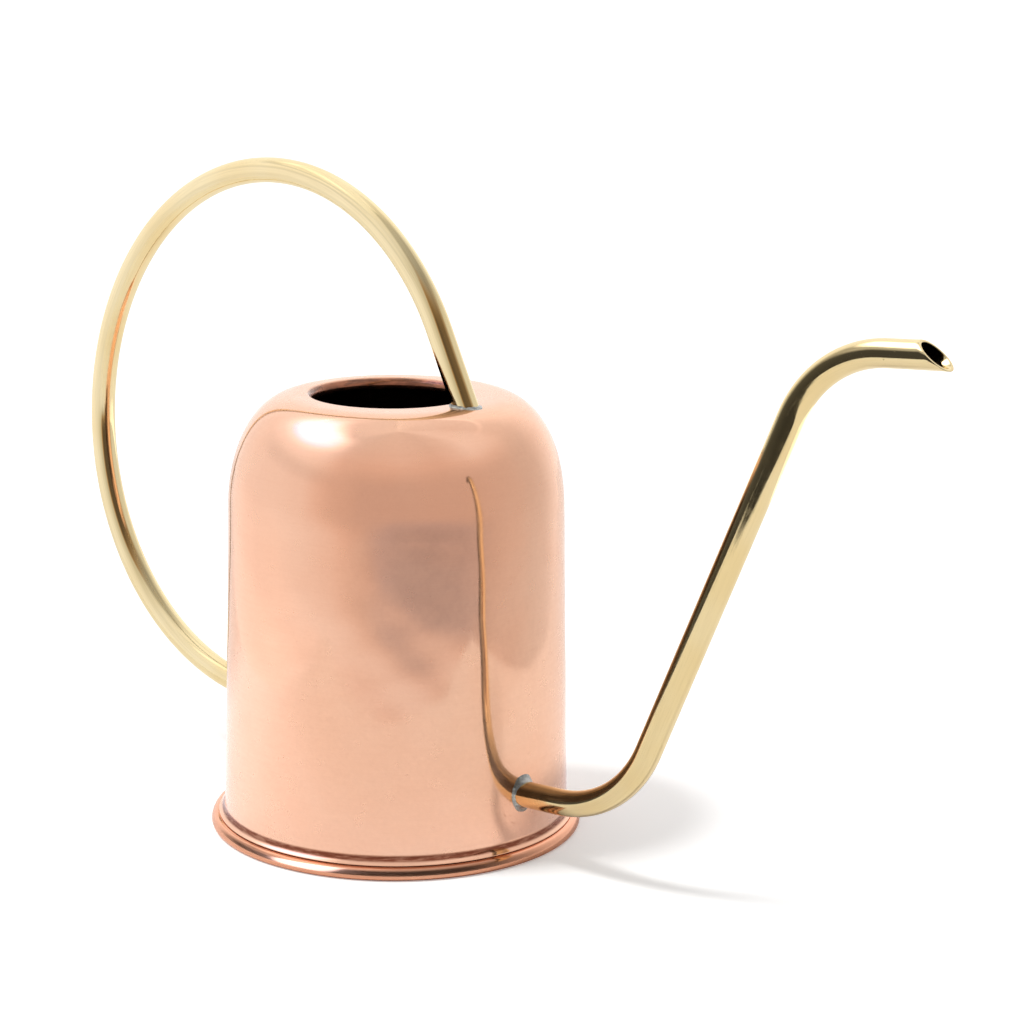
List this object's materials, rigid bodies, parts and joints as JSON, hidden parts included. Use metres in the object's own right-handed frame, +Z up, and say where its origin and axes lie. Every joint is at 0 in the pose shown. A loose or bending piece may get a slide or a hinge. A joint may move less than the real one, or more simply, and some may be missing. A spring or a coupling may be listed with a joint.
{
  "type": "watering can",
  "caption": "Small indoor watering can: domed copper body with a curled base rim, round filler opening, brass ring handle and slim bent brass spout.",
  "frame": {"origin": "on the body's axis, in the plane of the flat ring the can stands on", "axes": "+Z up along the body's axis, +X towards the spout, the handle towards -X, so Y = 0 is the can's plane of symmetry"},
  "size_m": [0.3422, 0.116, 0.2037],
  "materials": {
    "copper_shell": "polished bare copper, faint brushing",
    "copper_base": "polished bare copper",
    "seam_solder": "dull soft solder",
    "brass_spout": "polished brass",
    "spout_solder": "dull soft solder",
    "brass_handle": "polished brass",
    "handle_solder": "dull soft solder"
  },
  "bodies": {
    "root": {"body_shell": "copper_shell", "base_plate": "copper_base", "base_seam_solder": "seam_solder", "spout_tube": "brass_spout", "spout_solder": "spout_solder", "handle_tube": "brass_handle", "handle_front_solder": "handle_solder", "handle_rear_solder": "handle_solder"}
  },
  "joints": []
}
